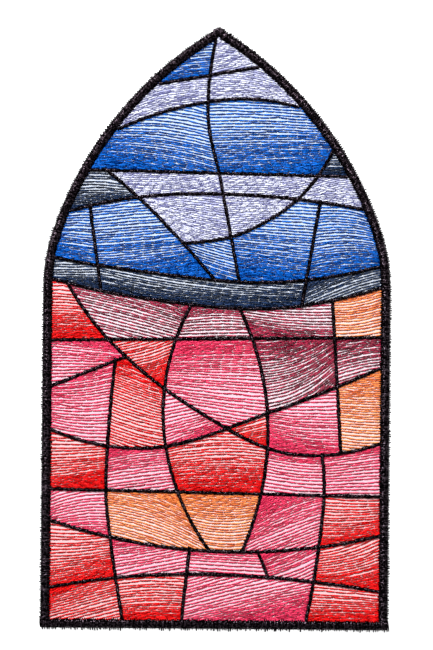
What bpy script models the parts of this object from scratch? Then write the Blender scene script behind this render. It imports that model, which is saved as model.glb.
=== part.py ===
"""Embroidered patch: a pointed-arch window picture, worked in thread on white twill.

Metres, +Z up. The patch lies on its back on Z = 0 with its face up. The picture's foot is towards -Y
and its point towards +Y. The origin is on the back, under the middle of the patch's box.
"""
import math

import bmesh
import bpy
from mathutils import Vector
from mathutils.geometry import delaunay_2d_cdt, interpolate_bezier

for old_object in list(bpy.data.objects):
    bpy.data.objects.remove(old_object, do_unlink=True)

# Outline of the patch
WIDTH = 0.100
HEIGHT = 0.173
SPRING_HEIGHT = 0.105      # the straight sides end here, above the foot
SIDE_RADIUS = 0.108        # of the two long arcs that meet in the point
SHOULDER_RADIUS = 0.050    # softens the bend between a side and its arc

# Layers, from the back up
CLOTH_THICKNESS = 0.0006
FILL_THICKNESS = 0.0004
LINE_WIDTH = 0.0011
LINE_SIDE = 0.0004         # height of a line's two edges above its foot
LINE_RIDGE = 0.0007        # height of a line's middle above its foot
BORDER_WIDTH = 0.0030
BORDER_THICKNESS = 0.0019
BORDER_SIDE = 0.0004       # height where the border's round top begins
EDGE_WRAP = 0.0010         # thread that stands outside the cloth's cut edge
GAP = 0.0003               # clearance between neighbouring pieces

# How finely curves are cut
SHOULDER_STEPS = 4
ARC_STEPS = 14
BORDER_STEPS = 8
LINE_TURN = math.radians(5)
MERGE = 1e-6
STRAIGHT = 1e-3            # sine of the least turn that counts as a corner

# Lines of the picture, through points given as shares of the half width and of the height.
# A line may run past the one that it ends on: what sticks out is cut off.
LINES = {
    "crown_bar": [(-0.56, 0.893), (0.36, 0.940)],
    "crown_arch": [(-0.80, 0.790), (0.10, 0.880), (0.80, 0.818)],
    "sky_bar": [(-0.95, 0.762), (0.95, 0.752)],
    "sky_arch": [(-1.05, 0.672), (-0.20, 0.722), (0.98, 0.690)],
    "left_slant": [(-0.675, 0.769), (-0.36, 0.690), (0.00, 0.575)],
    "right_slant": [(0.74, 0.870), (0.54, 0.740), (0.16, 0.660), (-0.24, 0.640), (-0.60, 0.650)],
    "spine": [(0.02, 1.020), (-0.06, 0.860), (0.02, 0.740), (0.14, 0.560)],
    "left_rib": [(-0.74, 0.720), (-0.66, 0.550)],
    "right_rib": [(0.60, 0.730), (0.48, 0.525)],
    "band_top": [(-1.05, 0.622), (-0.40, 0.592), (0.34, 0.577), (1.05, 0.614)],
    "band_bottom": [(-1.05, 0.588), (-0.40, 0.548), (0.34, 0.534), (1.05, 0.580)],
    "long_bar": [(-1.05, 0.478), (1.05, 0.487)],
    "swoop_down": [(-0.92, 0.610), (-0.62, 0.480), (-0.10, 0.362), (0.45, 0.292), (1.05, 0.325)],
    "swoop_up": [(-1.05, 0.345), (-0.40, 0.300), (0.30, 0.360), (1.05, 0.450)],
    "left_tip": [(-1.05, 0.390), (-0.40, 0.465)],
    "low_bar": [(-1.05, 0.232), (1.05, 0.222)],
    "sag": [(-1.05, 0.190), (0.00, 0.130), (1.05, 0.166)],
    "foot_wave": [(-1.05, 0.062), (-0.10, 0.092), (1.05, 0.060)],
    "leaf_left": [(-0.10, 0.560), (-0.30, 0.340), (0.00, 0.120)],
    "leaf_right": [(0.10, 0.550), (0.30, 0.340), (0.14, 0.120)],
    "left_post": [(-0.575, 0.452), (-0.62, 0.300), (-0.62, 0.200), (-0.50, -0.020)],
    "right_post": [(0.66, 0.570), (0.72, 0.290)],
    "right_low_post": [(0.60, 0.315), (0.62, 0.200), (0.50, -0.020)],
    "foot_post": [(-0.14, 0.145), (-0.20, -0.020)],
    "foot_slant": [(0.22, 0.150), (0.34, 0.065)],
}

# Each thread's colour, and the middles of the panes worked in it, from the top, as shares like the lines'
THREADS = {
    "lavender": ((0.72, 0.73, 0.87), [
        (0.06, 0.94), (0.18, 0.90), (-0.29, 0.88), (-0.29, 0.74), (0.28, 0.74), (0.65, 0.72),
        (0.21, 0.70), (-0.16, 0.69)]),
    "royal_blue": ((0.12, 0.37, 0.79), [
        (-0.15, 0.93), (0.27, 0.81), (-0.32, 0.80), (-0.79, 0.65), (0.70, 0.64), (0.35, 0.64),
        (-0.41, 0.64), (-0.01, 0.62)]),
    "navy": ((0.15, 0.20, 0.33), [
        (0.66, 0.77), (-0.66, 0.72), (-0.80, 0.59), (0.71, 0.57), (-0.09, 0.56)]),
    "maroon": ((0.58, 0.13, 0.25), [
        (-0.50, 0.53), (0.42, 0.51), (-0.02, 0.51), (0.80, 0.45), (0.45, 0.43)]),
    "red": ((0.86, 0.13, 0.12), [
        (-0.82, 0.52), (-0.40, 0.45), (-0.46, 0.37), (0.21, 0.33), (0.01, 0.27), (-0.79, 0.27),
        (0.76, 0.18), (-0.78, 0.12), (0.77, 0.11), (-0.36, 0.06), (-0.73, 0.05), (0.73, 0.05)]),
    "orange": ((0.93, 0.52, 0.28), [
        (0.81, 0.52), (0.82, 0.36), (0.03, 0.19), (-0.35, 0.18)]),
    "rose": ((0.87, 0.22, 0.42), [
        (-0.77, 0.45), (0.01, 0.42), (-0.74, 0.37), (-0.17, 0.35), (0.53, 0.34), (0.79, 0.26),
        (0.44, 0.26), (-0.43, 0.26), (-0.76, 0.20), (0.40, 0.18), (-0.38, 0.12), (0.44, 0.11),
        (0.07, 0.11), (0.18, 0.05)]),
}
BLACK = (0.03, 0.02, 0.03)
WHITE = (0.94, 0.95, 0.97)
THREAD_ROUGHNESS = 0.5
CLOTH_ROUGHNESS = 0.9


def at(share):
    """The place on the patch of a point given in shares."""
    return Vector((share[0] * WIDTH / 2, (share[1] - 0.5) * HEIGHT))


def arch_outline(inset):
    """The patch's outline moved inwards, from the foot's right corner round by the point."""
    half, foot, spring = WIDTH / 2, -HEIGHT / 2, SPRING_HEIGHT - HEIGHT / 2
    rise = HEIGHT - SPRING_HEIGHT
    chord = math.hypot(half, rise)
    reach = math.sqrt(SIDE_RADIUS ** 2 - (chord / 2) ** 2)
    arc_x = half / 2 - reach * rise / chord
    arc_y = spring + rise / 2 - reach * half / chord
    shoulder_x = half - SHOULDER_RADIUS
    shoulder_y = arc_y + math.sqrt((SIDE_RADIUS - SHOULDER_RADIUS) ** 2 - (shoulder_x - arc_x) ** 2)
    turn = math.atan2(shoulder_y - arc_y, shoulder_x - arc_x)
    peak = math.acos(-arc_x / (SIDE_RADIUS - inset))

    side = [Vector((half - inset, foot + inset))]
    for step in range(SHOULDER_STEPS + 1):
        angle = turn * step / SHOULDER_STEPS
        arm = Vector((math.cos(angle), math.sin(angle))) * (SHOULDER_RADIUS - inset)
        side.append(Vector((shoulder_x, shoulder_y)) + arm)
    for step in range(1, ARC_STEPS + 1):
        angle = turn + (peak - turn) * step / ARC_STEPS
        arm = Vector((math.cos(angle), math.sin(angle))) * (SIDE_RADIUS - inset)
        side.append(Vector((arc_x, arc_y)) + arm)
    return side + [Vector((-point.x, point.y)) for point in reversed(side[:-1])]


def tangents(points):
    """The direction of a smooth line at each of its points."""
    inner = [(after - before).normalized() for before, after in zip(points, points[2:])]
    if not inner:
        return [(points[1] - points[0]).normalized()] * 2
    first, last = points[1] - points[0], points[-1] - points[-2]
    return [inner[0].reflect(first.orthogonal().normalized()).normalized(), *inner,
            inner[-1].reflect(last.orthogonal().normalized()).normalized()]


def smooth_line(shares):
    """A line's points: a smooth curve through the given ones, cut finer where it turns more."""
    points = [at(share) for share in shares]
    directions = tangents(points)
    line = [points[0]]
    for start, end, leaving, arriving in zip(points, points[1:], directions, directions[1:]):
        reach = (end - start).length / 3
        chord = (end - start).normalized()
        turning = leaving.angle(chord) + chord.angle(arriving)
        steps = max(1, math.ceil(turning / LINE_TURN))
        curve = interpolate_bezier(start, start + leaving * reach, end - arriving * reach, end, steps + 1)
        line += [point.to_2d() for point in curve[1:]]
    return line


def closed(run):
    """Each point of a closed outline with the next one."""
    return zip(run, run[1:] + run[:1])


def middle(outline):
    """The centre of an outline's sides, each counted by its length."""
    whole, weighted = 0, Vector((0, 0))
    for start, end in closed(outline):
        length = (end - start).length
        whole += length
        weighted += (start + end) / 2 * length
    return weighted / whole


def meeting(before, after, distance):
    """Where two neighbouring sides meet once both have moved left by a distance."""
    (start, along), (corner, away) = before, after
    start = start + along.orthogonal() * distance
    corner = corner + away.orthogonal() * distance
    turn = along.cross(away)
    if abs(turn) < STRAIGHT:
        return corner
    return start + along * ((corner - start).cross(away) / turn)


def shrunk(outline, distance):
    """An anticlockwise outline moved inwards. A side too short to last goes, and its neighbours meet."""
    sides = [(start, (end - start).normalized()) for start, end in closed(outline)]
    while len(sides) > 2:
        corners = [meeting(sides[index - 1], side, distance) for index, side in enumerate(sides)]
        lengths = [(end - start).dot(along) for (start, end), (_, along) in zip(closed(corners), sides)]
        shortest = min(lengths)
        if shortest > 0:
            return corners
        del sides[lengths.index(shortest)]
    return []


def triangulated(runs, areas):
    """A flat mesh of triangles that has the runs' and the areas' sides among its edges.

    Also gives those edges, the corners that are points of the runs, and the areas round each triangle.
    """
    points, sides, faces = [], [], []
    for run in runs:
        sides += [(len(points) + step, len(points) + step + 1) for step in range(len(run) - 1)]
        points += run
    run_points = len(points)
    for area in areas:
        faces.append(range(len(points), len(points) + len(area)))
        points += area
    points, sides, triangles, point_origins, side_origins, areas_round = delaunay_2d_cdt(
        points, sides, faces, 0, MERGE)

    flat = bmesh.new()
    corners = [flat.verts.new((*point, 0)) for point in points]
    on_runs = {corner for corner, origin in zip(corners, point_origins)
               if any(index < run_points for index in origin)}
    triangles = [flat.faces.new([corners[index] for index in triangle]) for triangle in triangles]
    drawn = {flat.edges.get([corners[index] for index in side])
             for side, origin in zip(sides, side_origins) if origin}
    return flat, drawn, on_runs, dict(zip(triangles, areas_round))


def without_loose_ends(drawn):
    """The drawn edges, less the lengths of line that end in the middle of a pane."""
    while True:
        loose = {edge for edge in drawn
                 if any(sum(other in drawn for other in corner.link_edges) == 1 for corner in edge.verts)}
        if not loose:
            return drawn
        drawn = drawn - loose


def cells(outline):
    """The picture cut along its lines: the outline of each cell, anticlockwise."""
    flat, drawn, _, areas_round = triangulated(map(smooth_line, LINES.values()), [outline])
    outside = [face for face, areas in areas_round.items() if not areas]
    bmesh.ops.delete(flat, geom=outside, context="FACES")
    drawn = without_loose_ends({edge for edge in drawn if edge.is_valid})
    bmesh.ops.dissolve_edges(flat, edges=[edge for edge in flat.edges if edge not in drawn], use_verts=False)
    flat.normal_update()
    found = [[corner.co.to_2d() for corner in (face.verts if face.normal.z > 0 else reversed(face.verts))]
             for face in flat.faces]
    flat.free()
    return found


def finish_piece(mesh, name, colour, roughness):
    """Makes a mesh an object with its own material."""
    bmesh.ops.recalc_face_normals(mesh, faces=mesh.faces)
    data = bpy.data.meshes.new(name)
    mesh.to_mesh(data)
    mesh.free()
    material = bpy.data.materials.new(name)
    material.use_nodes = True
    surface = material.node_tree.nodes["Principled BSDF"]
    surface.inputs["Base Color"].default_value = (*(level ** 2.2 for level in colour), 1)
    surface.inputs["Roughness"].default_value = roughness
    surface.inputs["Metallic"].default_value = 0
    data.materials.append(material)
    bpy.context.scene.collection.objects.link(bpy.data.objects.new(name, data))


def raise_corners(geometry, height):
    """Lifts the corners among some elements of a mesh."""
    for element in geometry:
        if isinstance(element, bmesh.types.BMVert):
            element.co.z += height


def plate(name, outline, foot, thickness, colour, roughness):
    """A flat piece of even thickness."""
    mesh = bmesh.new()
    face = mesh.faces.new([mesh.verts.new((*corner, foot)) for corner in outline])
    raise_corners(bmesh.ops.extrude_face_region(mesh, geom=[face])["geom"], thickness)
    finish_piece(mesh, name, colour, roughness)


def ground_cloth():
    """The white twill, cut to the arch a little inside the border's outer edge."""
    plate("ground_cloth", arch_outline(EDGE_WRAP + GAP), 0, CLOTH_THICKNESS, WHITE, CLOTH_ROUGHNESS)


def satin_border():
    """The satin stitched edge: round above, and stepped below to lie over the cloth and round its edge."""
    seat = CLOTH_THICKNESS + GAP
    section = [(EDGE_WRAP, seat), (EDGE_WRAP, 0), (0, 0)]
    for step in range(BORDER_STEPS + 1):
        angle = math.pi * step / BORDER_STEPS
        side = BORDER_SIDE + (seat - BORDER_SIDE) * step / BORDER_STEPS
        inset = BORDER_WIDTH * (1 - math.cos(angle)) / 2
        section.append((inset, side + (BORDER_THICKNESS - side) * math.sin(angle)))

    mesh = bmesh.new()
    rings = [[mesh.verts.new((*point, height)) for point in arch_outline(inset)]
             for inset, height in section]
    for ring, following in closed(rings):
        for (start, end), (next_start, next_end) in zip(closed(ring), closed(following)):
            mesh.faces.new((start, end, next_end, next_start))
    finish_piece(mesh, "satin_border", BLACK, THREAD_ROUGHNESS)


def lead_lines(outline, picture):
    """The black line stitching, one net round all the panes, highest along the middle of each line."""
    openings = [shrunk(cell, LINE_WIDTH / 2) for cell in picture]
    mesh, _, middles, areas_round = triangulated([cell + cell[:1] for cell in picture], [outline, *openings])
    ridge = {tuple(corner.co) for corner in middles}
    unstitched = [face for face, areas in areas_round.items() if len(areas) != 1]
    bmesh.ops.delete(mesh, geom=unstitched, context="FACES")
    for element in bmesh.ops.extrude_face_region(mesh, geom=mesh.faces[:])["geom"]:
        if isinstance(element, bmesh.types.BMVert):
            element.co.z = LINE_RIDGE if tuple(element.co) in ridge else LINE_SIDE
    raise_corners(mesh.verts, CLOTH_THICKNESS + GAP)
    finish_piece(mesh, "lead_lines", BLACK, THREAD_ROUGHNESS)


def fill_panes(picture):
    """Every pane, in the thread and under the number of the mark that is nearest to its cell's middle."""
    marks = {f"pane_{thread}_{number}": (at(share), colour)
             for thread, (colour, shares) in THREADS.items()
             for number, share in enumerate(shares, 1)}
    for cell in picture:
        centre = middle(cell)
        name = min(marks, key=lambda mark: (marks[mark][0] - centre).length)
        plate(name, shrunk(cell, LINE_WIDTH / 2 + GAP), CLOTH_THICKNESS + GAP, FILL_THICKNESS,
              marks[name][1], THREAD_ROUGHNESS)


ground_cloth()
satin_border()
inner_edge = arch_outline(BORDER_WIDTH + GAP)
picture = cells(inner_edge)
lead_lines(inner_edge, picture)
fill_panes(picture)
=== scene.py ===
import math

import bmesh
import bpy
import numpy as np
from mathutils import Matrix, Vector
from mathutils.bvhtree import BVHTree
from mathutils.geometry import interpolate_bezier
from mathutils.kdtree import KDTree


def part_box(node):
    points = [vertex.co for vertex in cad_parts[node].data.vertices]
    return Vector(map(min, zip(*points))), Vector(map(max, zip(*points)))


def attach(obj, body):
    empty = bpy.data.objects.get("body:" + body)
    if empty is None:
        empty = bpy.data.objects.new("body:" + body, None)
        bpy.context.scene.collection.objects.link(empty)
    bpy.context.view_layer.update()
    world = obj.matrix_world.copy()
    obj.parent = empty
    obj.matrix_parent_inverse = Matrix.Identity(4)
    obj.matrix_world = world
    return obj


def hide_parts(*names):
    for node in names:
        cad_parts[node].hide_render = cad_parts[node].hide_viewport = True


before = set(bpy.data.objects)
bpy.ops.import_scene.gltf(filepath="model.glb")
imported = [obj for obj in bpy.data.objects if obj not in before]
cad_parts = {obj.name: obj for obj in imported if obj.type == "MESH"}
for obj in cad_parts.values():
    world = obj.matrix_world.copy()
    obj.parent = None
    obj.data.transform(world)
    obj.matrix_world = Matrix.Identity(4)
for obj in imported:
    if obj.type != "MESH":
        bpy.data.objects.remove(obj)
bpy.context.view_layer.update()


# Ground cloth
# White cotton twill on a stabiliser, cut to the arch once the picture is stitched. Every stitched line
# pulls it down, so that the cloth of each pane swells a little, and its cut edge is inside the border.
HALF_WIDTH, HEIGHT = 0.050, 0.173   # of the patch
CLOTH_INSET = 0.0013        # the cloth's cut edge is this far inside the border's outer edge
SEAM_INSET = 0.0020         # and the border holds it down this far inside its cut edge
CLOTH_TOP = 0.00078         # of the cloth where a line holds it down
PILLOW_LIFT = 0.00016       # how much higher it is in the middle of a pane
PILLOW_REACH = 0.0018       # how far from a line it takes to rise
PILLOW_SLACK = 0.2          # how uneven that lift is
SLACK_WAVES_X = 410, 1.3, 260   # its waves from left to right: how close, how bent, how close the bends
SLACK_WAVES_Y = 350, 1.1, 300   # and from foot to point
CLOTH_CELL = 0.00066        # side of the mesh's squares
POINT_STEP = 0.0001         # between the points at which a line or a row is worked out
LINE_LEVEL = 0.00135        # the lines' solid is higher than this near their middles only

# The lines of the picture, in stitching order, as shares of the half width and of the height
LINES = {
    "crown_bar": [(-0.56, 0.893), (0.36, 0.940)],
    "crown_arch": [(-0.80, 0.790), (0.10, 0.880), (0.80, 0.818)],
    "sky_bar": [(-0.95, 0.762), (0.95, 0.752)],
    "sky_arch": [(-1.05, 0.672), (-0.20, 0.722), (0.98, 0.690)],
    "left_slant": [(-0.675, 0.769), (-0.36, 0.690), (0.00, 0.575)],
    "right_slant": [(0.74, 0.870), (0.54, 0.740), (0.16, 0.660), (-0.24, 0.640), (-0.60, 0.650)],
    "spine": [(0.02, 1.020), (-0.06, 0.860), (0.02, 0.740), (0.14, 0.560)],
    "left_rib": [(-0.74, 0.720), (-0.66, 0.550)],
    "right_rib": [(0.60, 0.730), (0.48, 0.525)],
    "long_bar": [(-1.05, 0.478), (1.05, 0.487)],
    "swoop_down": [(-0.92, 0.610), (-0.62, 0.480), (-0.10, 0.362), (0.45, 0.292), (1.05, 0.325)],
    "swoop_up": [(-1.05, 0.345), (-0.40, 0.300), (0.30, 0.360), (1.05, 0.450)],
    "left_tip": [(-1.05, 0.390), (-0.40, 0.465)],
    "low_bar": [(-1.05, 0.232), (1.05, 0.222)],
    "sag": [(-1.05, 0.190), (0.00, 0.130), (1.05, 0.166)],
    "foot_wave": [(-1.05, 0.062), (-0.10, 0.092), (1.05, 0.060)],
    "leaf_left": [(-0.10, 0.560), (-0.30, 0.340), (0.00, 0.120)],
    "leaf_right": [(0.10, 0.550), (0.30, 0.340), (0.14, 0.120)],
    "left_post": [(-0.575, 0.452), (-0.62, 0.300), (-0.62, 0.200), (-0.50, -0.020)],
    "right_post": [(0.66, 0.570), (0.72, 0.290)],
    "right_low_post": [(0.60, 0.315), (0.62, 0.200), (0.50, -0.020)],
    "foot_post": [(-0.14, 0.145), (-0.20, -0.020)],
    "foot_slant": [(0.22, 0.150), (0.34, 0.065)],
    "band_top": [(-1.05, 0.622), (-0.40, 0.592), (0.34, 0.577), (1.05, 0.614)],
    "band_bottom": [(-1.05, 0.588), (-0.40, 0.548), (0.34, 0.534), (1.05, 0.580)],
}


def smooth_line(shares):
    """A line's points, very close together: a smooth curve through the given ones."""
    points = [Vector((x * HALF_WIDTH, (y - 0.5) * HEIGHT)) for x, y in shares]
    inner = [(after - before).normalized() for before, after in zip(points, points[2:])]
    first, last = points[1] - points[0], points[-1] - points[-2]
    if inner:
        headings = [inner[0].reflect(first.orthogonal().normalized()).normalized(), *inner,
                    inner[-1].reflect(last.orthogonal().normalized()).normalized()]
    else:
        headings = [first.normalized()] * 2
    line = []
    for start, end, leaving, arriving in zip(points, points[1:], headings, headings[1:]):
        reach = (end - start).length / 3
        steps = math.ceil(reach * 3 / POINT_STEP)
        curve = interpolate_bezier(start, start + leaving * reach, end - arriving * reach, end, steps)
        line += [point[:2] for point in curve]
    return np.array(line)


def stitched_part(line, net):
    """The longest run of a line's points that lies on the stitched net, which ends at the border."""
    hits = [net.ray_cast((x, y, 1), (0, 0, -1))[0] for x, y in line]
    on_net = np.array([bool(hit) and hit.z > LINE_LEVEL for hit in hits])
    runs = np.split(np.arange(len(line)), np.flatnonzero(np.diff(on_net)) + 1)
    return line[max((run for run in runs if on_net[run[0]]), key=len)]


def outer_edge(node):
    """The outline of a CAD node that bulges everywhere, anticlockwise."""
    middle = np.mean(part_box(node.name), axis=0)[2]
    places = {v.co[:2] for v in node.data.vertices if v.co.z > middle}
    return np.array(sorted(places, key=lambda place: math.atan2(place[1], place[0])))


def moved_out(outline, distances):
    """An anticlockwise outline whose sides move outwards, all by one distance or each by its own."""
    sides = np.roll(outline, -1, axis=0) - outline
    outward = np.stack([sides[:, 1], -sides[:, 0]], axis=1) / np.linalg.norm(sides, axis=1)[:, None]
    before = np.roll(outward, 1, axis=0)
    after_distance = np.broadcast_to(distances, len(outline))
    before_distance = np.roll(after_distance, 1)
    alike = (before * outward).sum(axis=1)
    sharp = np.maximum(1 - alike ** 2, 1e-9)
    straight = alike > 0.999
    before_share = np.where(straight, before_distance / 2,
                            (before_distance - alike * after_distance) / sharp)
    after_share = np.where(straight, after_distance / 2,
                           (after_distance - alike * before_distance) / sharp)
    return outline + before * before_share[:, None] + outward * after_share[:, None]


def nearest_line(places):
    """The distance from each place to the nearest stitched line or border."""
    return np.array([line_tree.find((x, y, 0))[2] for x, y in places])


def cloth_height(places):
    """The height of the cloth's face at some places."""
    swell = 1 - np.exp(-(nearest_line(places) / PILLOW_REACH) ** 2)
    x, y = places.T
    slack = bent_waves(x, y, *SLACK_WAVES_X) * bent_waves(y, x, *SLACK_WAVES_Y)
    return CLOTH_TOP + PILLOW_LIFT * swell * (1 + PILLOW_SLACK * slack)


def bent_waves(along, across, pitch, bend, bend_pitch):
    """Waves along one direction, whose crests sway with the place across."""
    return np.sin(along * pitch + bend * np.sin(across * bend_pitch))


def finish_in(piece, finish, slot, *nodes):
    """Gives a piece its finish, and says which solids it stands for."""
    piece.data.materials.clear()
    piece.data.materials.append(finish)
    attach(piece, "root")
    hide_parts(*nodes)


lead_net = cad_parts["lead_lines"].data
net = BVHTree.FromPolygons([v.co for v in lead_net.vertices], [p.vertices for p in lead_net.polygons])
line_runs = {name: stitched_part(smooth_line(shares), net) for name, shares in LINES.items()}
cloth_edge = outer_edge(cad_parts["ground_cloth"])
patch_edge = moved_out(cloth_edge, CLOTH_INSET)
border_seam = moved_out(cloth_edge, -SEAM_INSET)
held_down = [point for run in line_runs.values() for point in run[::3]]
for start, end in zip(border_seam, np.roll(border_seam, -1, axis=0)):
    held_down += list(start + (end - start) * np.linspace(0, 1, 60)[:, None])
line_tree = KDTree(len(held_down))
for index, point in enumerate(held_down):
    line_tree.insert((*point, 0), index)
line_tree.balance()

bpy.ops.object.select_all(action="DESELECT")
bpy.ops.mesh.primitive_grid_add(
    x_subdivisions=round(2 * HALF_WIDTH / CLOTH_CELL), y_subdivisions=round(HEIGHT / CLOTH_CELL),
    size=1, location=(0, 0, 0))
cloth = bpy.context.object
cloth.name = cloth.data.name = "ground_cloth_twill"
cloth.scale = (2000 * HALF_WIDTH, 1000 * HEIGHT, 1)     # in millimetres, to be cut finely enough
bpy.ops.object.transform_apply(location=True, rotation=True, scale=True)
bpy.ops.object.mode_set(mode="EDIT")
for start, end in zip(cloth_edge * 1000, np.roll(cloth_edge, -1, axis=0) * 1000):
    bpy.ops.mesh.select_all(action="SELECT")
    outward = Vector((end[1] - start[1], start[0] - end[0], 0)).normalized()
    bpy.ops.mesh.bisect(plane_co=(*start, 0), plane_no=outward, clear_outer=True, use_fill=False)
bpy.ops.mesh.select_all(action="SELECT")
bpy.ops.mesh.remove_doubles(threshold=0.02)
bpy.ops.object.mode_set(mode="OBJECT")
cloth.scale = (0.001, 0.001, 0.001)
bpy.ops.object.transform_apply(location=True, rotation=True, scale=True)
places = np.zeros(len(cloth.data.vertices) * 3)
cloth.data.vertices.foreach_get("co", places)
places = places.reshape(-1, 3)
places[:, 2] = cloth_height(places[:, :2])
cloth.data.vertices.foreach_set("co", places.ravel())
bpy.ops.object.mode_set(mode="EDIT")
bpy.ops.mesh.select_mode(type="EDGE")
bpy.ops.mesh.select_all(action="DESELECT")
bpy.ops.mesh.select_non_manifold(extend=False, use_wire=False, use_multi_face=False,
                                 use_non_contiguous=False, use_verts=False)
bpy.ops.mesh.extrude_edges_move()
bpy.ops.transform.resize(value=(1, 1, 0), center_override=(0, 0, 0))
bpy.ops.mesh.edge_face_add()
bpy.ops.mesh.select_all(action="SELECT")
bpy.ops.mesh.normals_make_consistent(inside=False)
bpy.ops.object.mode_set(mode="OBJECT")
bpy.ops.object.shade_smooth_by_angle(angle=math.radians(40))

twill = bpy.data.materials.new("white_twill")
twill.use_nodes = True
nodes, links = twill.node_tree.nodes, twill.node_tree.links
surface = nodes["Principled BSDF"]
surface.inputs["Roughness"].default_value = 0.85
surface.inputs["Sheen Weight"].default_value = 0.2
spot = nodes.new("ShaderNodeTexCoord")
slope = nodes.new("ShaderNodeMapping")
slope.inputs["Rotation"].default_value = (0, 0, math.radians(27))
ribs = nodes.new("ShaderNodeTexWave")
ribs.inputs["Scale"].default_value = 640
ribs.inputs["Distortion"].default_value = 0.8
ribs.inputs["Detail Scale"].default_value = 3
yarns = nodes.new("ShaderNodeTexNoise")
yarns.inputs["Scale"].default_value = 2600
# The twill is painted darker and bluer in the low parts of its ribs than on their tops: painted shade in
# the weave's grooves
tone = nodes.new("ShaderNodeMix")
tone.data_type = "RGBA"
tone.inputs["A"].default_value = (0.80, 0.81, 0.84, 1)
tone.inputs["B"].default_value = (0.93, 0.93, 0.94, 1)
# Painted shade and coloured bounce light in the cloth between the rows of each pane, multiplied into its
# colour
painted_gap_shade = nodes.new("ShaderNodeAttribute")
painted_gap_shade.attribute_name = "painted_gap_shade"
gap_shade_mix = nodes.new("ShaderNodeMix")
gap_shade_mix.data_type = "RGBA"
gap_shade_mix.blend_type = "MULTIPLY"
gap_shade_mix.inputs["Factor"].default_value = 1
relief = nodes.new("ShaderNodeMath")
relief.operation = "MULTIPLY"
weave = nodes.new("ShaderNodeBump")
weave.inputs["Strength"].default_value = 0.35
weave.inputs["Distance"].default_value = 0.00006
links.new(spot.outputs["Object"], slope.inputs["Vector"])
links.new(slope.outputs["Vector"], ribs.inputs["Vector"])
links.new(spot.outputs["Object"], yarns.inputs["Vector"])
links.new(ribs.outputs["Fac"], relief.inputs[0])
links.new(yarns.outputs["Fac"], relief.inputs[1])
links.new(ribs.outputs["Fac"], tone.inputs["Factor"])
links.new(tone.outputs["Result"], gap_shade_mix.inputs["A"])
links.new(painted_gap_shade.outputs["Color"], gap_shade_mix.inputs["B"])
links.new(gap_shade_mix.outputs["Result"], surface.inputs["Base Color"])
links.new(relief.outputs["Value"], weave.inputs["Height"])
links.new(weave.outputs["Normal"], surface.inputs["Normal"])
finish_in(cloth, twill, "white_twill", "ground_cloth")


# Fill stitches
# The colour of each pane: rows of polyester embroidery thread, laid on the cloth from needle hole to
# needle hole. The rows fan out between the pane's edges, and are packed tight at one end and open at
# the other, where the white cloth shows between them.
THREAD_HALF_WIDTH, THREAD_HALF_HEIGHT = 0.00020, 0.00015
STITCH_SIDES = 5
STITCH_LENGTH = 0.0028
STITCH_LENGTHS = 0.92, 1.08     # the least and the most of it that a row is stitched at
STITCH_WIDTHS = 0.9, 1.1        # and of a stitch's modelled width
SHORTEST_STITCH = 0.25      # in stitches
HOLE_SCATTER = 0.00008      # how far a needle hole is off its place
HOLE_LIFT = 0.00010         # of a stitch's end over the face of the cloth
ROW_STAGGER = 0.37          # how far each row's holes are moved on from the last row's, in stitches
ROW_SPACES = 0.83, 1.18     # the least and the most that the space to the next row is of its due
ROW_OPENING = 1.6           # how fast the rows open up across a pane
ROW_DELAY = 0.12            # after a first part in which they stay tight
SHORTEST_ROW = 6            # in points
PANE_GROWTH = 0.00075       # rows run this far past the pane's solid, to end under the line
BORDER_GROWTH = 0.00160     # and this far where the pane meets the border
BORDER_ZONE = 0.0045        # which is where its edge is nearer than this to the border's outer edge
ROWS_INSET = 0.0019         # but rows never come nearer than this to it
SLOPE_LIMIT = 0.30          # of the edges that a pane's rows follow
BOW_LIMIT = 0.35            # of their bow, in shares of the pane's width
FOLLOWED = 0.7              # how much of that slope and bow the rows take
PANE_LEAN, PANE_BOW = 0.15, 0.10    # how far a pane's rows lean and bow besides
EDGE_LEAN, EDGE_BOW = 0.04, 1.0     # and how far the rows at its two edges do
TURNED_ROUND = 0.15         # the share of the panes that are packed at their other end
# Painted shade where a stitch goes down into its hole:
END_SHADE = 0.90            # how much darker a stitch is where it goes down into its hole
END_SHARE = 0.12            # of its length, at each end, over which it darkens
USUAL_SHADE, SHADE_SPREAD, LIGHTEST = 0.43, 0.25, 0.65      # of the stitches, from shade to light

# Each thread: its colour in shade and in light, the painted shade and coloured bounce light that its rows
# put on the white cloth between them, the rows' spacing at the tight and at the open end, how late they
# open up, and which end is tight
THREADS = {
    "lavender": ((0.11, 0.11, 0.30), (0.90, 0.92, 1.00), (0.54, 0.56, 0.80),
                 0.00041, 0.00057, 1.00, "foot"),
    "royal_blue": ((0.00, 0.01, 0.10), (0.002, 0.15, 0.68), (0.54, 0.66, 0.86),
                   0.00032, 0.00082, 0.55, "foot"),
    "navy": ((0.001, 0.002, 0.006), (0.010, 0.026, 0.076), (0.58, 0.63, 0.72),
             0.00032, 0.00082, 0.90, "foot"),
    "maroon": ((0.05, 0.001, 0.006), (0.48, 0.026, 0.078), (0.88, 0.72, 0.77),
               0.00043, 0.00087, 0.75, "head"),
    "red": ((0.34, 0.001, 0.001), (1.00, 0.008, 0.010), (0.94, 0.55, 0.56),
            0.00033, 0.00086, 0.70, "foot"),
    "orange": ((0.50, 0.070, 0.012), (1.00, 0.33, 0.095), (1.00, 0.69, 0.62),
               0.00043, 0.00083, 0.75, "head"),
    "rose": ((0.36, 0.008, 0.036), (1.00, 0.060, 0.165), (0.98, 0.58, 0.67),
             0.00038, 0.00091, 0.60, "head"),
}


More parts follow.
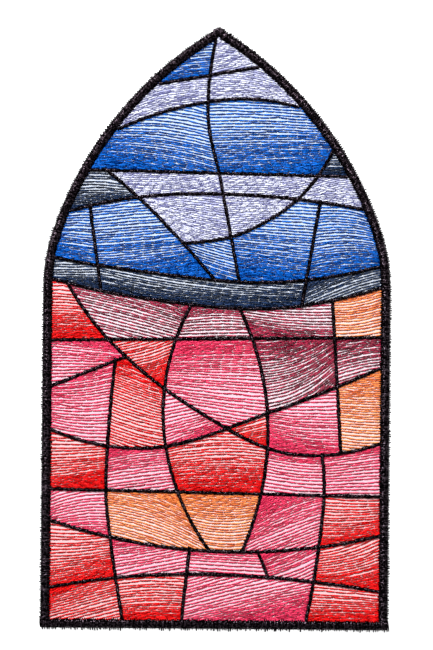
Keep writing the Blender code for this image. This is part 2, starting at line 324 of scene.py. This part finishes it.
def modelled_stitch(name, rings):
    """One stitch along X, to be copied: a ring of corners, extruded and resized from ring to ring.

    A ring is the share of the length where it stands, its height, half width and half thickness.
    """
    bpy.ops.object.select_all(action="DESELECT")
    bpy.ops.mesh.primitive_circle_add(vertices=STITCH_SIDES, radius=1, fill_type="NGON",
                                      location=(0, 0, 0), rotation=(0, math.pi / 2, 0))
    stitch = bpy.context.object
    stitch.name = name
    bpy.ops.object.transform_apply(location=True, rotation=True, scale=True)
    bpy.ops.object.mode_set(mode="EDIT")
    bpy.ops.mesh.select_all(action="SELECT")
    along, height, width, thickness = rings[0]
    bpy.ops.transform.resize(value=(1, width, thickness), center_override=(0, 0, 0))
    bpy.ops.transform.translate(value=(along, 0, height))
    for before, after in zip(rings, rings[1:]):
        step = (after[0] - before[0], 0, after[1] - before[1])
        bpy.ops.mesh.extrude_region_move(TRANSFORM_OT_translate={"value": step})
        bpy.ops.transform.resize(value=(1, after[2] / before[2], after[3] / before[3]),
                                 center_override=(after[0], 0, after[1]))
    bpy.ops.mesh.select_all(action="SELECT")
    bpy.ops.mesh.normals_make_consistent(inside=False)
    bpy.ops.object.mode_set(mode="OBJECT")
    return stitch


def lay_stitches(name, model, starts, ends, shades, widths):
    """One mesh of a stitch copied between pairs of holes, each with its own shade and width."""
    shape = np.array([v.co for v in model.data.vertices])
    reach = ends - starts
    lengths = np.linalg.norm(reach[:, :2], axis=1)
    side = np.stack([-reach[:, 1], reach[:, 0]], axis=1) / lengths[:, None] * widths[:, None]
    placed = starts[:, None, :] + shape[None, :, :1] * reach[:, None, :]
    placed[:, :, :2] += shape[None, :, 1:2] * side[:, None, :]
    placed[:, :, 2] += shape[None, :, 2]

    corners = np.array([loop.vertex_index for loop in model.data.loops])
    firsts = np.array([face.loop_start for face in model.data.polygons])
    copies = np.arange(len(starts))[:, None]
    mesh = bpy.data.meshes.new(name)
    mesh.vertices.add(placed.shape[0] * placed.shape[1])
    mesh.vertices.foreach_set("co", placed.ravel())
    mesh.loops.add(copies.size * corners.size)
    mesh.loops.foreach_set("vertex_index", (corners + copies * len(shape)).ravel())
    mesh.polygons.add(copies.size * firsts.size)
    mesh.polygons.foreach_set("loop_start", (firsts + copies * corners.size).ravel())
    mesh.update(calc_edges=True)
    mesh.shade_smooth()

    around = np.arctan2(shape[:, 1] / np.abs(shape[:, 1]).max(), shape[:, 2] - np.median(shape[:, 2]))
    twist = mesh.uv_layers.new(name="thread")
    along = (shape[corners, 0] * lengths[:, None] * 1000).ravel()
    turned = np.tile(around[corners] / (2 * math.pi), len(starts))
    twist.data.foreach_set("uv", np.stack([along, turned], axis=1).ravel())
    # Painted shade at each end of the stitch, where it goes down into its hole, taken off the stitch's
    # own shade
    from_end = np.minimum(shape[:, 0], 1 - shape[:, 0])
    painted_end_shade = END_SHADE * np.clip(1 - from_end / END_SHARE, 0, 1)
    shade_layer = mesh.attributes.new("shade", "FLOAT", "POINT")
    shade_layer.data.foreach_set("value", (shades[:, None] - painted_end_shade).astype(np.float32).ravel())
    piece = bpy.data.objects.new(name, mesh)
    bpy.context.scene.collection.objects.link(piece)
    return piece


def thread_finish(name, shadow, light, gloss=0.50, dull=0.0, roughness=0.40, painted_glints=0.5):
    """Twisted polyester thread: painted shade, less shine in its plies' grooves, and each stitch's own
    shade.

    How much its painted light and shade, and its shine, come and go along it as the thread turns: painted
    glints.
    """
    finish = bpy.data.materials.new(name)
    finish.use_nodes = True
    nodes, links = finish.node_tree.nodes, finish.node_tree.links
    surface = nodes["Principled BSDF"]
    surface.inputs["Roughness"].default_value = roughness
    highlight = [0.2 + 0.8 * level / max(light) for level in light]     # mostly of the thread's own hue
    surface.inputs["Specular Tint"].default_value = (*highlight, 1)
    place = nodes.new("ShaderNodeUVMap")
    place.uv_map = "thread"
    lay = nodes.new("ShaderNodeMapping")
    lay.inputs["Scale"].default_value = (1.2566, 0.62832, 1)    # one ply in half a millimetre
    plies = nodes.new("ShaderNodeTexWave")
    plies.bands_direction = "DIAGONAL"
    plies.inputs["Scale"].default_value = 1
    shade = nodes.new("ShaderNodeAttribute")
    shade.attribute_name = "shade"
    # Painted light and shade that mix the thread's colour: lighter on each ply, darker in the grooves and
    # at the stitch's ends
    depth = nodes.new("ShaderNodeMath")
    depth.operation = "MULTIPLY_ADD"
    depth.inputs[1].default_value = 0.35    # how much lighter a ply is than its grooves
    sheen = nodes.new("ShaderNodeMath")
    sheen.operation = "MULTIPLY_ADD"
    sheen.use_clamp = True
    sheen.inputs[1].default_value = gloss
    sheen.inputs[2].default_value = -dull
    # Painted glints: noise along the thread that lightens and darkens its painted colour and its shine,
    # as the thread turns
    spot = nodes.new("ShaderNodeTexCoord")
    turns = nodes.new("ShaderNodeTexNoise")
    turns.inputs["Scale"].default_value = 1800
    turns.inputs["Detail"].default_value = 0
    glint_range = nodes.new("ShaderNodeMapRange")
    glint_range.inputs["From Min"].default_value = 0.35
    glint_range.inputs["From Max"].default_value = 0.65
    glint_range.inputs["To Min"].default_value = 1 - painted_glints
    glint_range.inputs["To Max"].default_value = 1 + painted_glints
    glint = nodes.new("ShaderNodeMath")
    glint.operation = "MULTIPLY"
    tone = nodes.new("ShaderNodeMix")
    tone.data_type = "RGBA"
    tone.inputs["A"].default_value = (*shadow, 1)
    tone.inputs["B"].default_value = (*light, 1)
    groove = nodes.new("ShaderNodeBump")
    groove.inputs["Strength"].default_value = 0.5
    groove.inputs["Distance"].default_value = 0.00004
    links.new(place.outputs["UV"], lay.inputs["Vector"])
    links.new(lay.outputs["Vector"], plies.inputs["Vector"])
    links.new(plies.outputs["Fac"], depth.inputs[0])
    links.new(shade.outputs["Fac"], depth.inputs[2])
    links.new(depth.outputs["Value"], glint.inputs[0])
    links.new(glint_range.outputs["Result"], glint.inputs[1])
    links.new(glint.outputs["Value"], tone.inputs["Factor"])
    links.new(glint.outputs["Value"], sheen.inputs[0])
    links.new(spot.outputs["Object"], turns.inputs["Vector"])
    links.new(turns.outputs["Fac"], glint_range.inputs["Value"])
    links.new(sheen.outputs["Value"], surface.inputs["Specular IOR Level"])
    links.new(tone.outputs["Result"], surface.inputs["Base Color"])
    links.new(plies.outputs["Fac"], groove.inputs["Height"])
    links.new(groove.outputs["Normal"], surface.inputs["Normal"])
    return finish


def top_outline(node):
    """The outline of a flat CAD node's top, anticlockwise."""
    copy = bmesh.new()
    copy.from_mesh(node.data)
    bmesh.ops.remove_doubles(copy, verts=copy.verts, dist=1e-6)
    top = max(corner.co.z for corner in copy.verts) - 1e-5
    following = {}
    for face in copy.faces:
        if all(corner.co.z > top for corner in face.verts):
            for loop in face.loops:
                following[loop.vert, loop.link_loop_next.vert] = True
    onward = {start: end for start, end in following if (end, start) not in following}
    corner = next(iter(onward))
    outline = []
    while len(outline) < len(onward):
        outline.append(corner.co.to_2d()[:])
        corner = onward[corner]
    copy.free()
    return np.array(outline)


def grown_pane(outline):
    """A pane's outline moved out under the lines round it, and further where it lies along the border."""
    middles = (outline + np.roll(outline, -1, axis=0)) / 2
    beside_border = ~inside(moved_out(patch_edge, -BORDER_ZONE), middles)
    return moved_out(outline, np.where(beside_border, BORDER_GROWTH, PANE_GROWTH))


def inside(outline, places):
    """Which of some places are inside an outline."""
    x, y = places.T
    within = np.zeros(len(places), bool)
    for (x1, y1), (x2, y2) in zip(outline, np.roll(outline, -1, axis=0)):
        if y1 != y2:
            crossing = (x2 - x1) * (y - y1) / (y2 - y1) + x1
            within ^= ((y1 > y) != (y2 > y)) & (x < crossing)
    return within


def edge_curves(outline):
    """The slope and bow of a pane's lower and upper edges, kept within what a fill is stitched at."""
    columns, levels = 15, 60
    left, right = outline[:, 0].min(), outline[:, 0].max()
    foot, head = outline[:, 1].min(), outline[:, 1].max()
    corner = 0.15 * (right - left)
    across = np.linspace(left + corner, right - corner, columns)
    up = np.linspace(foot, head, levels)
    grid = np.stack(np.meshgrid(across, up, indexing="ij"), axis=-1)
    within = inside(outline, grid.reshape(-1, 2)).reshape(columns, levels)
    offset = across - (left + right) / 2
    lower = np.where(within, up, head).min(axis=1)
    upper = np.where(within, up, foot).max(axis=1)
    curves = []
    for edge in (lower, upper):
        bow, slope, _ = np.polyfit(offset, edge, 2)
        most = BOW_LIMIT / (right - left)
        curves.append((FOLLOWED * np.clip(slope, -SLOPE_LIMIT, SLOPE_LIMIT),
                       FOLLOWED * np.clip(bow, -most, most)))
    return curves


def pane_rows(outline, limit, tight, loose, lateness, tight_end, chance):
    """The needle holes of a pane's stitches, two for each, row by row."""
    left, right = outline[:, 0].min(), outline[:, 0].max()
    foot, head = outline[:, 1].min(), outline[:, 1].max()
    middle = (left + right) / 2
    lean, bend = chance.normal(0, (PANE_LEAN, PANE_BOW))
    lower, upper = (
        np.array(curve) + (lean, bend / (right - left)) + chance.normal(0, (EDGE_LEAN, EDGE_BOW))
        for curve in edge_curves(outline))
    margin = SLOPE_LIMIT * (right - left) / 2
    along = np.arange(left, right, POINT_STEP)
    starts, ends = [], []
    row, level = 0, foot - margin
    turned_round = chance.random() < TURNED_ROUND
    while level < head + margin:
        share = np.clip((level - foot) / (head - foot), 0, 1)
        slope, bow = lower + (upper - lower) * share
        line = level + slope * (along - middle) + bow * (along - middle) ** 2
        for run in runs_inside(outline, limit, np.stack([along, line], axis=1)):
            holes = needle_holes(run, row, chance)
            starts.append(holes[:-1])
            ends.append(holes[1:])
        openness = share if (tight_end == "foot") != turned_round else 1 - share
        openness = np.clip(ROW_OPENING * openness - ROW_DELAY, 0, 1) ** lateness
        level += (tight + (loose - tight) * openness) * chance.uniform(*ROW_SPACES)
        row += 1
    return np.concatenate(starts), np.concatenate(ends)


def runs_inside(outline, limit, line):
    """The parts of a row's line that cross a pane, within the limit that the border sets."""
    within = inside(outline, line) & inside(limit, line)
    parts = np.split(np.arange(len(line)), np.flatnonzero(np.diff(within)) + 1)
    return [line[part] for part in parts if within[part[0]] and len(part) > SHORTEST_ROW]


def needle_holes(run, row, chance):
    """Where the needle goes through along a row: at its two ends, and in steps between them."""
    length = (len(run) - 1) * POINT_STEP
    step = STITCH_LENGTH * chance.uniform(*STITCH_LENGTHS)
    inner = np.arange(step * (row * ROW_STAGGER % 1), length, step)
    shortest = SHORTEST_STITCH * step
    inner = inner[(inner > shortest) & (inner < length - shortest)]
    where = np.concatenate([[0], inner, [length]])
    holes = run[np.clip(np.round(where / POINT_STEP).astype(int), 0, len(run) - 1)].copy()
    holes[1:-1] += chance.normal(0, HOLE_SCATTER, holes[1:-1].shape)
    return holes


fill_stitch = modelled_stitch("fill_stitch", [
    (0.00, -0.00009, 0.00013, 0.00008),
    (0.09, 0.00003, 0.00018, 0.00014),
    (0.50, 0.00009, THREAD_HALF_WIDTH, THREAD_HALF_HEIGHT),
    (0.91, 0.00003, 0.00018, 0.00014),
    (1.00, -0.00009, 0.00013, 0.00008)])
finishes = {thread: thread_finish(thread + "_thread", shadow, light)
            for thread, (shadow, light, *_) in THREADS.items()}
limit = moved_out(patch_edge, -ROWS_INSET)
cloth_places = np.array([v.co[:2] for v in cloth.data.vertices])
painted_gap_shade_colours = np.ones((len(cloth_places), 4))
for name in sorted(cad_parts):
    if name.startswith("pane_"):
        thread = name[len("pane_"):name.rindex("_")]
        _, _, painted_gap_shade, *packing = THREADS[thread]
        chance = np.random.default_rng(sum(map(ord, name)))
        outline = grown_pane(top_outline(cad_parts[name]))
        # The cloth under each pane is painted with its thread's shade and bounce light between the rows
        painted_gap_shade_colours[inside(outline, cloth_places), :3] = painted_gap_shade
        starts, ends = pane_rows(outline, limit, *packing, chance)
        starts = np.column_stack([starts, cloth_height(starts) + HOLE_LIFT])
        ends = np.column_stack([ends, cloth_height(ends) + HOLE_LIFT])
        shades = np.clip(chance.normal(USUAL_SHADE, SHADE_SPREAD, len(starts)), 0, LIGHTEST)
        pane = lay_stitches(name + "_stitches", fill_stitch, starts, ends, shades,
                            chance.uniform(*STITCH_WIDTHS, len(starts)))
        finish_in(pane, finishes[thread], thread + "_thread", name)
bpy.data.objects.remove(fill_stitch)
painted_gap_shade_layer = cloth.data.attributes.new("painted_gap_shade", "FLOAT_COLOR", "POINT")
painted_gap_shade_layer.data.foreach_set("color", painted_gap_shade_colours.ravel())


# Line stitches
# The black outlines of the picture: narrow satin columns of black polyester thread, sewn over the ends
# of the fill rows along every line, so that they stand up from the panes.
LINE_HALF_WIDTH = 0.00055
LINE_PITCH = 0.00040        # from stitch to stitch
LINE_SLANT = 0.3            # how far each end of a stitch leads or lags, in pitches
LINE_SCATTER = 0.00003      # how far a stitch is off the line's middle
LINE_BULGES = 0.82, 1.14    # the least and the most that a pair of stitches reaches of the half width
LINE_REACHES = 0.90, 1.10   # and one of the two of that
LINE_WIDTHS = 0.85, 1.15    # and a stitch's own width of its modelled one
LINE_SHADES = 0.8, 7.0      # shape of the spread of their shades: most dark, a few light
LINE_LIFT = 0.00006         # of their ends over the cloth
LINES_INSET = 0.0037        # lines that end nearer than this to the border's outer edge run under it
BLACK_SHADE, BLACK_LIGHT = (0.0004, 0.0003, 0.0004), (0.012, 0.008, 0.011)


def column_holes(run, chance):
    """The pairs of needle holes of a satin column along a run of close points."""
    travelled = np.concatenate([[0], np.cumsum(np.linalg.norm(np.diff(run, axis=0), axis=1))])
    marks = np.arange(0, travelled[-1], LINE_PITCH)
    centres = np.stack([np.interp(marks, travelled, run[:, axis]) for axis in (0, 1)], axis=1)
    along = np.gradient(centres, axis=0)
    along /= np.linalg.norm(along, axis=1)[:, None]
    across = np.stack([-along[:, 1], along[:, 0]], axis=1)
    centres += across * chance.normal(0, LINE_SCATTER, len(marks))[:, None]
    bulges = chance.uniform(*LINE_BULGES, (2, len(marks) // 2 + 1))
    bulge = np.repeat(bulges, 2, axis=1)[:, :len(marks)]
    reach = LINE_HALF_WIDTH * (bulge * chance.uniform(*LINE_REACHES, (2, len(marks))))[:, :, None]
    slant = along * LINE_PITCH * LINE_SLANT
    return centres - across * reach[0] - slant, centres + across * reach[1] + slant


def run_on(run, within_border):
    """A line's run, carried on by 0.6 mm under the border at the ends where it meets it."""
    first, last = inside(within_border, run[[0, -1]])
    if not first:
        run = np.vstack([run[:1] + (run[:1] - run[10:11]) * np.arange(0.6, 0, -0.1)[:, None], run])
    if not last:
        run = np.vstack([run, run[-1:] + (run[-1:] - run[-11:-10]) * np.arange(0.1, 0.7, 0.1)[:, None]])
    return run


satin_stitch = modelled_stitch("satin_stitch", [
    (0.00, 0.00000, 0.00012, 0.00008),
    (0.14, 0.00034, 0.00021, 0.00013),
    (0.50, 0.00054, 0.00024, 0.00015),
    (0.86, 0.00034, 0.00021, 0.00013),
    (1.00, 0.00000, 0.00012, 0.00008)])
chance = np.random.default_rng(7)
within_border = moved_out(patch_edge, -LINES_INSET)
holes = [column_holes(run_on(run, within_border), chance) for run in line_runs.values()]
starts, ends = (np.concatenate(side) for side in zip(*holes))
starts = np.column_stack([starts, np.full(len(starts), CLOTH_TOP + LINE_LIFT)])
ends = np.column_stack([ends, np.full(len(ends), CLOTH_TOP + LINE_LIFT)])
shades = chance.beta(*LINE_SHADES, len(starts))
lines = lay_stitches("lead_lines_stitches", satin_stitch, starts, ends, shades,
                     chance.uniform(*LINE_WIDTHS, len(starts)))
black_thread = thread_finish("black_thread", BLACK_SHADE, BLACK_LIGHT,
                             gloss=1.6, dull=0.38, roughness=0.30, painted_glints=0.8)
finish_in(lines, black_thread, "black_thread", "lead_lines")
bpy.data.objects.remove(satin_stitch)


# Border
# A wide black satin edge that closes the patch: thread stitched side by side over padding stitches, from
# outside the cloth's cut edge to the picture. Its outer ends are ragged, most along the foot.
BORDER_REACH = 0.0031       # of its stitches, in from the border's outer edge
BORDER_REACHES = 0.92, 1.05     # the least and the most of it that one reaches
BORDER_WIDTHS = 0.75, 1.10      # and of a stitch's modelled width
BORDER_SHADES = 0.8, 4.5    # shape of the spread of their shades, a little lighter than the lines'
BORDER_PITCH = 0.00031
OVERHANG = 0.00022          # how far the ends stand out from the solid's edge
SIDE_RAGGED, FOOT_RAGGED = 0.00013, 0.00026     # how uneven the outer ends are, pair by pair
RAGGED_LIMITS = -1.6, 2     # the furthest out and in that a pair's ends are, as shares of that
FRAYED = 0.00004            # and how far each is off its pair
ZIGZAG = 0.75               # how far each two stitches lean to the outer hole that they share
LEAN = 0.00010              # how far a pair leans besides
MITRE_GAP = 0.0002          # the sides' stitches end this far from the middle, under the point
MITRE_CUT = 0.8             # the most that one of them is shortened for it
FOOT_CAP = 0.0029           # the foot's stitches take the corners, and the sides start above them
SIDE_END = 0.80             # the sides' stitches stop this share of the last stretch, short of the point
FAN_STITCHES = 21
FAN_REACH = 0.0035          # from the hub of the point's fan out to the point
FAN_LONGEST = 0.0037        # and the longest that its stitches reach from there
FAN_OVERHANG = 0.00010      # beyond the sides' edges
FAN_RAGGED = 0.00022        # how uneven their outer ends are
FAN_START = 0.0002, 0.0012  # the least and the most that their inner ends are from the hub
FAN_LIFT = 0.00010          # the fan lies over the ends of the sides
BORDER_LIFT = 0.00009       # how far an end of a stitch is above or below the others


def evenly_along(corners, pitch):
    """Points one pitch apart along a chain of corners, and the direction there."""
    travelled = np.concatenate([[0], np.cumsum(np.linalg.norm(np.diff(corners, axis=0), axis=1))])
    marks = np.arange(pitch / 2, travelled[-1], pitch)
    points = np.stack([np.interp(marks, travelled, corners[:, axis]) for axis in (0, 1)], axis=1)
    along = np.gradient(points, axis=0)
    return points, along / np.linalg.norm(along, axis=1)[:, None]


def border_run(corners, ragged, chance):
    """The outer and inner holes of the border's stitches along one side, shorter near the point."""
    points, along = evenly_along(corners, BORDER_PITCH)
    inward = np.stack([-along[:, 1], along[:, 0]], axis=1)
    count = len(points)
    pairs = chance.normal(0, ((ragged,), (LEAN,)), (2, count // 2 + 1))
    frayed, lean = np.repeat(pairs, 2, axis=1)[:, :count]
    furthest_out, furthest_in = (share * ragged for share in RAGGED_LIMITS)
    frayed = np.clip(frayed, furthest_out, furthest_in) + chance.normal(0, FRAYED, count)
    outer = points + inward * (frayed - OVERHANG)[:, None]
    inner = points + inward * (BORDER_REACH * chance.uniform(*BORDER_REACHES, count))[:, None]
    over = np.clip(-inner[:, 0] * np.sign(points[:, 0]) + MITRE_GAP, 0, None)
    cut = np.clip(over / np.maximum(np.abs(inward[:, 0]) * BORDER_REACH, 1e-6), 0, MITRE_CUT)
    inner += (outer - inner) * cut[:, None]
    zigzag = np.where(np.arange(count) % 2, -1, 1) * ZIGZAG * BORDER_PITCH / 2
    lean = along * (zigzag + lean)[:, None]
    return outer + lean, inner - lean


def point_fan(tip, chance):
    """The outer and inner holes of the stitches that fan round the point, from side to side."""
    hub = tip - (0, FAN_REACH)
    neighbour = patch_edge[patch_edge[:, 1].argmax() - 1]
    splay = math.atan2(tip[1] - neighbour[1], neighbour[0] - tip[0])
    swing = np.linspace(-splay, splay, FAN_STITCHES)
    edge = FAN_REACH * math.cos(splay) / np.cos(splay - np.abs(swing))
    reach = np.minimum(edge + FAN_OVERHANG, FAN_LONGEST)
    arms = np.stack([np.sin(swing), np.cos(swing)], axis=1)
    outer = hub + arms * (reach + chance.normal(0, FAN_RAGGED, FAN_STITCHES))[:, None]
    return outer, hub + arms * chance.uniform(*FAN_START, FAN_STITCHES)[:, None]


border_stitch = modelled_stitch("border_stitch", [
    (0.00, 0.00032, 0.00005, 0.00005),
    (0.08, 0.00072, 0.00016, 0.00013),
    (0.18, 0.00116, 0.00018, 0.00014),
    (0.38, 0.00156, 0.00020, 0.00014),
    (0.62, 0.00160, 0.00020, 0.00014),
    (0.86, 0.00128, 0.00018, 0.00014),
    (1.00, 0.00078, 0.00010, 0.00008)])
foot = patch_edge[:, 1].min()
right_side = patch_edge[patch_edge[:, 0] > 1e-5]
right_side = right_side[np.argsort(right_side[:, 1])]
point = patch_edge[patch_edge[:, 1].argmax()]
right_side = np.vstack([right_side, right_side[-1] + (point - right_side[-1]) * SIDE_END])
right_side[0, 1] = foot + FOOT_CAP
left_side = right_side[::-1] * (-1, 1)
foot_side = np.array([(-HALF_WIDTH, foot), (HALF_WIDTH, foot)])
chance = np.random.default_rng(11)
holes = [border_run(right_side, SIDE_RAGGED, chance), border_run(left_side, SIDE_RAGGED, chance),
         border_run(foot_side, FOOT_RAGGED, chance), point_fan(point, chance)]
starts, ends = (np.concatenate(side) for side in zip(*holes))
lifts = np.where(np.arange(len(starts)) < len(starts) - FAN_STITCHES, 0, FAN_LIFT)
lifts = lifts + chance.normal(0, BORDER_LIFT, (2, len(starts)))
border = lay_stitches("satin_border_stitches", border_stitch, np.column_stack([starts, lifts[0]]),
                      np.column_stack([ends, lifts[1]]), chance.beta(*BORDER_SHADES, len(starts)),
                      chance.uniform(*BORDER_WIDTHS, len(starts)))
finish_in(border, black_thread, "black_thread", "satin_border")
bpy.data.objects.remove(border_stitch)

# The padding's section: how far inside the border's outer edge, and how high
section = [(0.0002, 0.0001), (0.0002, 0.0005), (0.0005, 0.0009), (0.0011, 0.0013), (0.0020, 0.0014),
           (0.0026, 0.0011), (0.0029, 0.0007), (0.0027, 0.0003)]
rings = [moved_out(patch_edge, -inset) for inset, _ in section]
corners = [(*place, height) for ring, (_, height) in zip(rings, section) for place in ring]
count = len(patch_edge)
faces = [(ring * count + step, ring * count + after, next_ring * count + after, next_ring * count + step)
         for ring, next_ring in zip(range(len(section)), [*range(1, len(section)), 0])
         for step, after in zip(range(count), [*range(1, count), 0])]
padding_mesh = bpy.data.meshes.new("border_padding")
padding_mesh.from_pydata(corners, [], faces)
padding = bpy.data.objects.new("border_padding", padding_mesh)
bpy.context.scene.collection.objects.link(padding)
finish_in(padding, black_thread, "black_thread", "satin_border")


# Table, lights and camera
# Not part of the patch: a white table top under it, soft studio light from all round with a key light
# beyond the point, and a camera straight above.
bpy.ops.object.select_all(action="DESELECT")
bpy.ops.mesh.primitive_plane_add(size=4, location=(0, 0, -0.0001))
floor = bpy.context.object
floor.name = "floor"
paper = bpy.data.materials.new("white_paper")
paper.use_nodes = True
surface = paper.node_tree.nodes["Principled BSDF"]
surface.inputs["Base Color"].default_value = (0.93, 0.935, 0.94, 1)
surface.inputs["Roughness"].default_value = 0.9
surface.inputs["Emission Color"].default_value = (1, 1, 1, 1)
surface.inputs["Emission Strength"].default_value = 0.85
floor.data.materials.append(paper)

sky = bpy.data.worlds.new("studio")
sky.use_nodes = True
backdrop = sky.node_tree.nodes["Background"]
backdrop.inputs["Color"].default_value = (1, 1, 1, 1)
backdrop.inputs["Strength"].default_value = 0.10
bpy.context.scene.world = sky
bpy.context.scene.view_settings.view_transform = "Standard"


def soft_box(name, place, size, power):
    """A square studio light that faces the middle of the table."""
    lamp = bpy.data.lights.new(name, "AREA")
    lamp.size = size
    lamp.energy = power
    holder = bpy.data.objects.new(name, lamp)
    holder.location = place
    holder.rotation_euler = (-Vector(place)).to_track_quat("-Z", "Y").to_euler()
    bpy.context.scene.collection.objects.link(holder)


soft_box("key_light", (-0.30, 0.82, 0.86), size=0.20, power=28.5)
soft_box("fill_light", (0.5, -0.3, 1.1), size=0.8, power=2.5)

FRAME_HEIGHT = 0.1866       # what the picture takes in from top to bottom
CAMERA_HEIGHT = 0.80
CAMERA_TURN = 0.5           # in degrees, as the photograph was held
lens = bpy.data.cameras.new("camera")
lens.sensor_width = 36
lens.lens = lens.sensor_width * CAMERA_HEIGHT / FRAME_HEIGHT
lens.clip_start, lens.clip_end = 0.01, 10
camera = bpy.data.objects.new("camera", lens)
camera.location = (0, 0.0009, CAMERA_HEIGHT)
camera.rotation_euler = (0, 0, math.radians(CAMERA_TURN))
bpy.context.scene.collection.objects.link(camera)
bpy.context.scene.camera = camera
